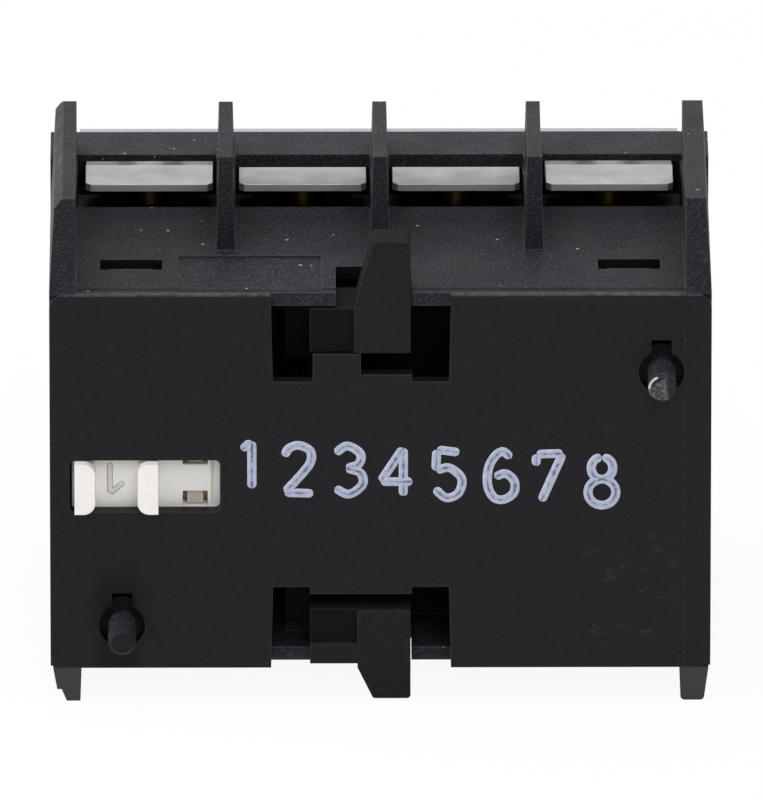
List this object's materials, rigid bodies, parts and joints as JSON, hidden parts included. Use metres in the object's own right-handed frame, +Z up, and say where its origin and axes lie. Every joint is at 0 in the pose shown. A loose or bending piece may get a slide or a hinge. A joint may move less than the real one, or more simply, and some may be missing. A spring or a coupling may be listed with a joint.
{
  "type": "auxiliary contact block",
  "caption": "Black clip-on auxiliary contact block with insulated screw terminals, a sideways locking hook and a white driven slider.",
  "frame": {"origin": "middle of the footprint, on the surface that the feet stand on", "axes": "+X across the block, +Y from the mounting face to the front, +Z up towards the terminals"},
  "size_m": [0.045, 0.0334, 0.0366],
  "materials": {
    "black_casing": "fine spark-eroded moulding texture",
    "black_plate": "satin moulding with faint wear",
    "black_slide": "satin moulding",
    "white_slider": "smooth moulding",
    "beige_carrier": "smooth moulding",
    "pale_marker": "smooth moulding",
    "zinc_clamp": "bright zinc plating",
    "zinc_screw": "zinc plating",
    "terminal_brass": "stamped and rolled",
    "bridge_copper": "stamped and rolled",
    "contact_silver": "cold headed silver alloy",
    "spring_steel": "drawn wire"
  },
  "bodies": {
    "block": {"housing": "black_casing", "base_plate": "black_plate", "marker_strip": "pale_marker", "fixed_tips": "contact_silver", "locking_spring": "spring_steel", "return_spring": "spring_steel", "terminal_strip_1": "terminal_brass", "terminal_strip_2": "terminal_brass", "terminal_strip_3": "terminal_brass", "terminal_strip_4": "terminal_brass"},
    "latch": {"locking_slide": "black_slide"},
    "actuator": {"actuator_slider": "white_slider", "contact_carrier": "beige_carrier", "make_bridge_spring": "spring_steel", "break_bridge_spring": "spring_steel"},
    "make_contact": {"make_bridge": "bridge_copper", "make_bridge_tips": "contact_silver"},
    "break_contact": {"break_bridge": "bridge_copper", "break_bridge_tips": "contact_silver"},
    "clamp_1": {"clamp_plate_1": "zinc_clamp"},
    "screw_1": {"terminal_screw_1": "zinc_screw"},
    "clamp_2": {"clamp_plate_2": "zinc_clamp"},
    "screw_2": {"terminal_screw_2": "zinc_screw"},
    "clamp_3": {"clamp_plate_3": "zinc_clamp"},
    "screw_3": {"terminal_screw_3": "zinc_screw"},
    "clamp_4": {"clamp_plate_4": "zinc_clamp"},
    "screw_4": {"terminal_screw_4": "zinc_screw"}
  },
  "joints": [
    {"name": "latch_slide", "type": "slide", "parent": "block", "child": "latch", "axis": [-1, 0, 0], "range_m": [0, 0.0012], "stiffness_N_per_m": 400, "springref_m": -0.0025, "deforming": ["locking_spring"]},
    {"name": "actuator_slide", "type": "slide", "parent": "block", "child": "actuator", "axis": [1, 0, 0], "range_m": [0, 0.003], "stiffness_N_per_m": 150, "springref_m": -0.004, "deforming": ["return_spring"]},
    {"name": "make_contact_slide", "type": "slide", "parent": "actuator", "child": "make_contact", "axis": [-1, 0, 0], "range_m": [0, 0.00083], "deforming": ["make_bridge_spring"]},
    {"name": "break_contact_slide", "type": "slide", "parent": "actuator", "child": "break_contact", "axis": [-1, 0, 0], "range_m": [0, 0.00083], "deforming": ["break_bridge_spring"]},
    {"name": "clamp_1_travel", "type": "slide", "parent": "block", "child": "clamp_1", "axis": [0, 0, -1], "range_m": [0, 0.0018]},
    {"name": "screw_1_turn", "type": "hinge", "parent": "clamp_1", "child": "screw_1", "pos_m": [-0.01575, 0.01265, 0.0291], "axis": [0, 0, -1], "range_deg": [0, 1300]},
    {"name": "clamp_2_travel", "type": "slide", "parent": "block", "child": "clamp_2", "axis": [0, 0, -1], "range_m": [0, 0.0018]},
    {"name": "screw_2_turn", "type": "hinge", "parent": "clamp_2", "child": "screw_2", "pos_m": [-0.00525, 0.01265, 0.0291], "axis": [0, 0, -1], "range_deg": [0, 1300]},
    {"name": "clamp_3_travel", "type": "slide", "parent": "block", "child": "clamp_3", "axis": [0, 0, -1], "range_m": [0, 0.0018]},
    {"name": "screw_3_turn", "type": "hinge", "parent": "clamp_3", "child": "screw_3", "pos_m": [0.00525, 0.01265, 0.0291], "axis": [0, 0, -1], "range_deg": [0, 1300]},
    {"name": "clamp_4_travel", "type": "slide", "parent": "block", "child": "clamp_4", "axis": [0, 0, -1], "range_m": [0, 0.0018]},
    {"name": "screw_4_turn", "type": "hinge", "parent": "clamp_4", "child": "screw_4", "pos_m": [0.01575, 0.01265, 0.0291], "axis": [0, 0, -1], "range_deg": [0, 1300]}
  ],
  "couplings": [
    {"joint": "make_contact_slide", "follows": "actuator_slide", "ratio": 0.27333},
    {"joint": "break_contact_slide", "follows": "actuator_slide", "ratio": 0.27333},
    {"joint": "screw_1_turn", "follows": "clamp_1_travel", "rad_per_m": 12566},
    {"joint": "screw_2_turn", "follows": "clamp_2_travel", "rad_per_m": 12566},
    {"joint": "screw_3_turn", "follows": "clamp_3_travel", "rad_per_m": 12566},
    {"joint": "screw_4_turn", "follows": "clamp_4_travel", "rad_per_m": 12566}
  ]
}
